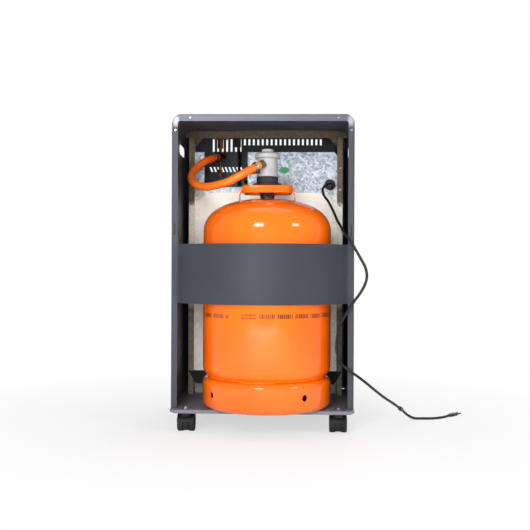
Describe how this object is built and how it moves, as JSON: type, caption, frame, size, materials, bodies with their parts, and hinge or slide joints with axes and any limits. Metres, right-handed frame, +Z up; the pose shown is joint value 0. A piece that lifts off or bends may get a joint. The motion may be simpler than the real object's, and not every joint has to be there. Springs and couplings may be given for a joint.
{
  "type": "portable gas cabinet heater",
  "caption": "Sheet-steel gas heater cabinet on casters, open at the rear on its bottle, regulator, hose and restraint band, with a guarded radiant burner and a blower at the front.",
  "frame": {"origin": "middle of the bounding box on the floor, cord left out", "axes": "+Z up, -Y the open rear side, +Y the burner side, +X to the right seen from the rear"},
  "size_m": [0.7183, 0.443, 0.756],
  "materials": {
    "panel_paint": "satin powder coat",
    "galvanised_sheet": "hot-dip galvanised, spangled",
    "black_sheet": "dull black oxide",
    "insulation_board": "matt fibre board",
    "ceramic_plaque": "matt, drilled",
    "polished_steel": "polished",
    "plated_wire": "bright zinc plate",
    "brass": "machined, slightly dull",
    "copper_pipe": "drawn copper",
    "control_plastic": "moulded, fine texture",
    "igniter_plastic": "moulded, glossy",
    "rocker_plastic": "moulded, glossy",
    "motor_case": "rolled can",
    "caster_plastic": "moulded nylon",
    "caster_tread": "moulded, scuffed",
    "band_paint": "satin powder coat",
    "bottle_paint": "glossy enamel",
    "regulator_casting": "satin zinc casting, lacquered",
    "black_plastic": "moulded",
    "hose_rubber": "smooth extruded",
    "cord_jacket": "smooth extruded"
  },
  "bodies": {
    "root": {"left_side_panel": "panel_paint", "right_side_panel": "panel_paint", "front_panel": "panel_paint", "base_plate": "panel_paint", "top_cover": "panel_paint", "left_post": "galvanised_sheet", "right_post": "galvanised_sheet", "top_rail": "galvanised_sheet", "lower_partition": "galvanised_sheet", "heat_shield": "galvanised_sheet", "burner_box": "galvanised_sheet", "lower_rail": "black_sheet", "burner_plenum": "black_sheet", "blower_housing": "black_sheet", "insulation_board": "insulation_board", "ceramic_plaque_1": "ceramic_plaque", "ceramic_plaque_2": "ceramic_plaque", "ceramic_plaque_3": "ceramic_plaque", "reflector": "polished_steel", "wire_guard": "plated_wire", "hose_clamp_regulator": "plated_wire", "hose_clamp_inlet": "plated_wire", "caster_stem_rear_left": "plated_wire", "caster_stem_rear_right": "plated_wire", "caster_stem_front_left": "plated_wire", "caster_stem_front_right": "plated_wire", "pilot_burner": "brass", "inlet_fitting": "brass", "gas_valve": "brass", "bottle_valve": "brass", "regulator_outlet": "brass", "burner_pipe": "copper_pipe", "piezo_igniter": "control_plastic", "switch_body": "control_plastic", "blower_motor": "motor_case", "bottle_shell": "bottle_paint", "foot_ring": "bottle_paint", "bottle_handle": "bottle_paint", "regulator_body": "regulator_casting", "regulator_base": "black_plastic", "cord_gland": "black_plastic", "cord_tie": "black_plastic", "mains_plug": "black_plastic", "gas_hose": "hose_rubber", "mains_cord": "cord_jacket"},
    "band": {"restraint_band": "band_paint"},
    "spindle": {"valve_spindle": "brass"},
    "knob": {"control_knob": "control_plastic"},
    "igniter_button": {"igniter_button": "igniter_plastic"},
    "rocker": {"switch_rocker": "rocker_plastic"},
    "lever": {"regulator_lever": "black_plastic"},
    "rotor": {"blower_rotor": "black_sheet"},
    "swivel_rear_left": {"caster_hood_rear_left": "caster_plastic"},
    "wheels_rear_left": {"caster_wheels_rear_left": "caster_tread"},
    "swivel_rear_right": {"caster_hood_rear_right": "caster_plastic"},
    "wheels_rear_right": {"caster_wheels_rear_right": "caster_tread"},
    "swivel_front_left": {"caster_hood_front_left": "caster_plastic"},
    "wheels_front_left": {"caster_wheels_front_left": "caster_tread"},
    "swivel_front_right": {"caster_hood_front_right": "caster_plastic"},
    "wheels_front_right": {"caster_wheels_front_right": "caster_tread"}
  },
  "joints": [
    {"name": "band_lift", "type": "slide", "parent": "root", "child": "band", "axis": [0, 0, 1], "range_m": [0, 0.012]},
    {"name": "spindle_press", "type": "slide", "parent": "root", "child": "spindle", "axis": [0, 0, -1], "range_m": [0, 0.004], "stiffness_N_per_m": 800, "springref_m": -0.0015},
    {"name": "knob_turn", "type": "hinge", "parent": "spindle", "child": "knob", "pos_m": [-0.12, 0.1395, 0.74], "axis": [0, 0, 1], "range_deg": [0, 180]},
    {"name": "igniter_press", "type": "slide", "parent": "root", "child": "igniter_button", "axis": [0, 0, -1], "range_m": [0, 0.005], "stiffness_N_per_m": 600, "springref_m": -0.002},
    {"name": "switch_rock", "type": "hinge", "parent": "root", "child": "rocker", "pos_m": [-0.02, 0.1665, 0.7318], "axis": [-1, 0, 0], "range_deg": [0, 16]},
    {"name": "lever_turn", "type": "hinge", "parent": "root", "child": "lever", "pos_m": [-0.012, -0.0908, 0.6], "axis": [0, -1, 0], "range_deg": [0, 90]},
    {"name": "blower_spin", "type": "hinge", "parent": "root", "child": "rotor", "pos_m": [0.0565, 0.1435, 0.645], "axis": [1, 0, 0], "continuous": true},
    {"name": "swivel_rear_left_turn", "type": "hinge", "parent": "root", "child": "swivel_rear_left", "pos_m": [-0.175, -0.1185, 0.045], "axis": [0, 0, 1], "continuous": true},
    {"name": "wheels_rear_left_roll", "type": "hinge", "parent": "swivel_rear_left", "child": "wheels_rear_left", "pos_m": [-0.175, -0.1065, 0.019], "axis": [1, 0, 0], "continuous": true},
    {"name": "swivel_rear_right_turn", "type": "hinge", "parent": "root", "child": "swivel_rear_right", "pos_m": [0.175, -0.1185, 0.045], "axis": [0, 0, 1], "continuous": true},
    {"name": "wheels_rear_right_roll", "type": "hinge", "parent": "swivel_rear_right", "child": "wheels_rear_right", "pos_m": [0.175, -0.1065, 0.019], "axis": [1, 0, 0], "continuous": true},
    {"name": "swivel_front_left_turn", "type": "hinge", "parent": "root", "child": "swivel_front_left", "pos_m": [-0.175, 0.1735, 0.045], "axis": [0, 0, 1], "continuous": true},
    {"name": "wheels_front_left_roll", "type": "hinge", "parent": "swivel_front_left", "child": "wheels_front_left", "pos_m": [-0.175, 0.1855, 0.019], "axis": [1, 0, 0], "continuous": true},
    {"name": "swivel_front_right_turn", "type": "hinge", "parent": "root", "child": "swivel_front_right", "pos_m": [0.175, 0.1735, 0.045], "axis": [0, 0, 1], "continuous": true},
    {"name": "wheels_front_right_roll", "type": "hinge", "parent": "swivel_front_right", "child": "wheels_front_right", "pos_m": [0.175, 0.1855, 0.019], "axis": [1, 0, 0], "continuous": true}
  ]
}
